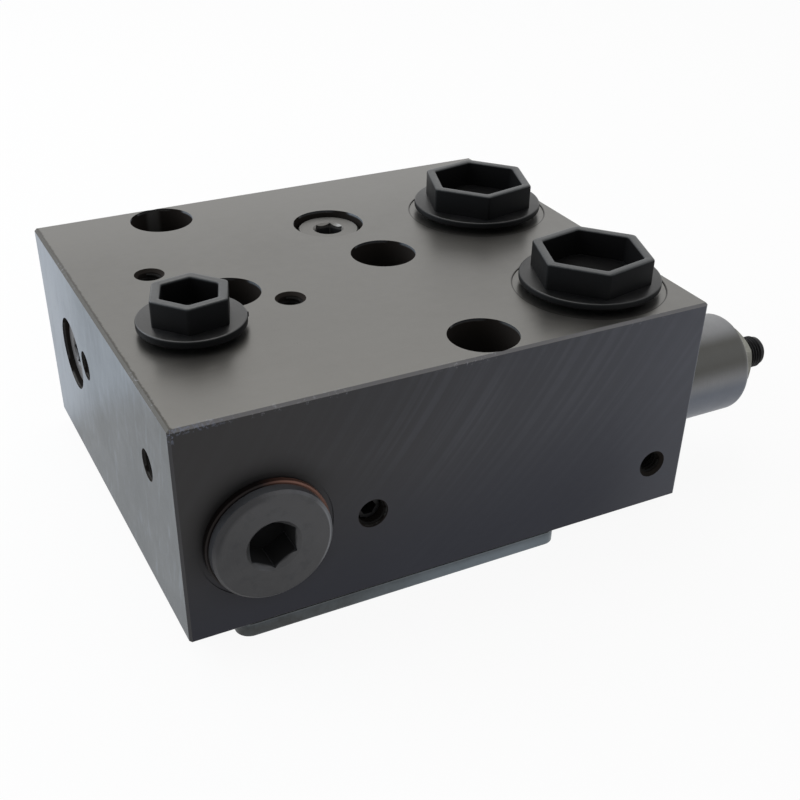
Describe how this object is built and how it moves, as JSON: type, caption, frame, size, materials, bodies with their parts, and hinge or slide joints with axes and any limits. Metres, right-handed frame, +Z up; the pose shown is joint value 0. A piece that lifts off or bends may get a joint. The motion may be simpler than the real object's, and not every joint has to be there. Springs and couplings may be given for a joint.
{
  "type": "motor brake valve",
  "caption": "Flange-mounted hydraulic motor valve block with capped line ports, plugged bores and a screw-in adjustable counterbalance cartridge.",
  "frame": {"origin": "centre of the mounting bolt pattern on the underside of the mounting plate", "axes": "+X along the long side towards the counterbalance cartridge, +Y towards the back, +Z up, away from the motor"},
  "size_m": [0.1981, 0.1341, 0.0778],
  "materials": {
    "block_steel": "machined, dull",
    "plate_steel": "machined, dull",
    "plug_steel": "plain machined steel",
    "cartridge_steel": "zinc plated, fine turned",
    "nut_steel": "zinc plated",
    "copper": "dull copper",
    "black_plastic": "moulded, satin",
    "seal_rubber": "nitrile rubber",
    "spring_steel": "spring wire",
    "black_steel": "black oxide",
    "ball_steel": "polished ball"
  },
  "bodies": {
    "valve": {"valve_body": "block_steel", "mounting_plate": "plate_steel", "plate_screws": "black_steel", "plate_seals": "seal_rubber", "motor_port_seals": "seal_rubber", "front_plug": "plug_steel", "copper_washer": "copper", "shuttle_seat": "plug_steel", "shuttle_seat_seal": "seal_rubber", "top_plug": "plug_steel", "top_plug_seal": "seal_rubber", "check_spring": "spring_steel", "side_plug": "plug_steel", "side_plug_seal": "seal_rubber", "pilot_hole_screws": "black_steel", "cartridge_sleeve": "cartridge_steel", "cartridge_seals": "seal_rubber", "main_spring": "spring_steel", "spring_housing": "cartridge_steel", "housing_seal": "seal_rubber"},
    "port_a_cap_ring": {"port_a_cap_seal": "seal_rubber"},
    "port_a_cap": {"port_a_cap": "black_plastic"},
    "port_b_cap_ring": {"port_b_cap_seal": "seal_rubber"},
    "port_b_cap": {"port_b_cap": "black_plastic"},
    "brake_port_cap_ring": {"brake_port_cap_seal": "seal_rubber"},
    "brake_port_cap": {"brake_port_cap": "black_plastic"},
    "spring_plate": {"spring_plate": "plug_steel", "spring_plate_seal": "seal_rubber"},
    "adjusting_screw": {"adjusting_screw": "black_steel"},
    "lock_nut_ring": {"lock_nut_seal": "seal_rubber"},
    "lock_nut": {"lock_nut": "nut_steel"},
    "counterbalance_poppet": {"counterbalance_poppet": "plug_steel", "lower_spring_seat": "plug_steel"},
    "check_poppet": {"check_poppet": "plug_steel"},
    "shuttle_ball": {"shuttle_ball": "ball_steel"}
  },
  "joints": [
    {"name": "port_a_cap_rise", "type": "slide", "parent": "valve", "child": "port_a_cap_ring", "axis": [0, 0, 1], "range_m": [0, 0.01201]},
    {"name": "port_a_cap_turn", "type": "hinge", "parent": "port_a_cap_ring", "child": "port_a_cap", "pos_m": [0.067, 0.0205, 0.067], "axis": [0, 0, 1], "range_deg": [0, 2160]},
    {"name": "port_b_cap_rise", "type": "slide", "parent": "valve", "child": "port_b_cap_ring", "axis": [0, 0, 1], "range_m": [0, 0.01201]},
    {"name": "port_b_cap_turn", "type": "hinge", "parent": "port_b_cap_ring", "child": "port_b_cap", "pos_m": [0.067, -0.0409, 0.067], "axis": [0, 0, 1], "range_deg": [0, 2160]},
    {"name": "brake_port_cap_rise", "type": "slide", "parent": "valve", "child": "brake_port_cap_ring", "axis": [0, 0, 1], "range_m": [0, 0.01001]},
    {"name": "brake_port_cap_turn", "type": "hinge", "parent": "brake_port_cap_ring", "child": "brake_port_cap", "pos_m": [-0.0406, -0.0195, 0.067], "axis": [0, 0, 1], "range_deg": [0, 2400]},
    {"name": "spring_plate_travel", "type": "slide", "parent": "valve", "child": "spring_plate", "axis": [1, 0, 0], "range_m": [-0.003, 0.002], "deforming": ["main_spring"]},
    {"name": "adjusting_screw_turn", "type": "hinge", "parent": "spring_plate", "child": "adjusting_screw", "pos_m": [0.12, -0.0409, 0.031], "axis": [1, 0, 0], "range_deg": [-1080, 720]},
    {"name": "lock_nut_travel", "type": "slide", "parent": "valve", "child": "lock_nut_ring", "axis": [1, 0, 0], "range_m": [0, 0.003]},
    {"name": "lock_nut_turn", "type": "hinge", "parent": "lock_nut_ring", "child": "lock_nut", "pos_m": [0.12, -0.0409, 0.031], "axis": [1, 0, 0], "range_deg": [0, 1080]},
    {"name": "counterbalance_poppet_lift", "type": "slide", "parent": "valve", "child": "counterbalance_poppet", "axis": [1, 0, 0], "range_m": [0, 0.003], "stiffness_N_per_m": 500, "springref_m": -0.002, "deforming": ["main_spring"]},
    {"name": "check_poppet_lift", "type": "slide", "parent": "valve", "child": "check_poppet", "axis": [0, 0, 1], "range_m": [0, 0.002], "stiffness_N_per_m": 100, "springref_m": -0.001, "deforming": ["check_spring"]},
    {"name": "shuttle_ball_travel", "type": "slide", "parent": "valve", "child": "shuttle_ball", "axis": [0, 1, 0], "range_m": [0, 0.00155]}
  ],
  "couplings": [
    {"joint": "port_a_cap_rise", "follows": "port_a_cap_turn", "m_per_rad": 0.00031831},
    {"joint": "port_b_cap_rise", "follows": "port_b_cap_turn", "m_per_rad": 0.00031831},
    {"joint": "brake_port_cap_rise", "follows": "brake_port_cap_turn", "m_per_rad": 0.00023873},
    {"joint": "spring_plate_travel", "follows": "adjusting_screw_turn", "m_per_rad": 0.00015915},
    {"joint": "lock_nut_travel", "follows": "lock_nut_turn", "m_per_rad": 0.00015915}
  ]
}
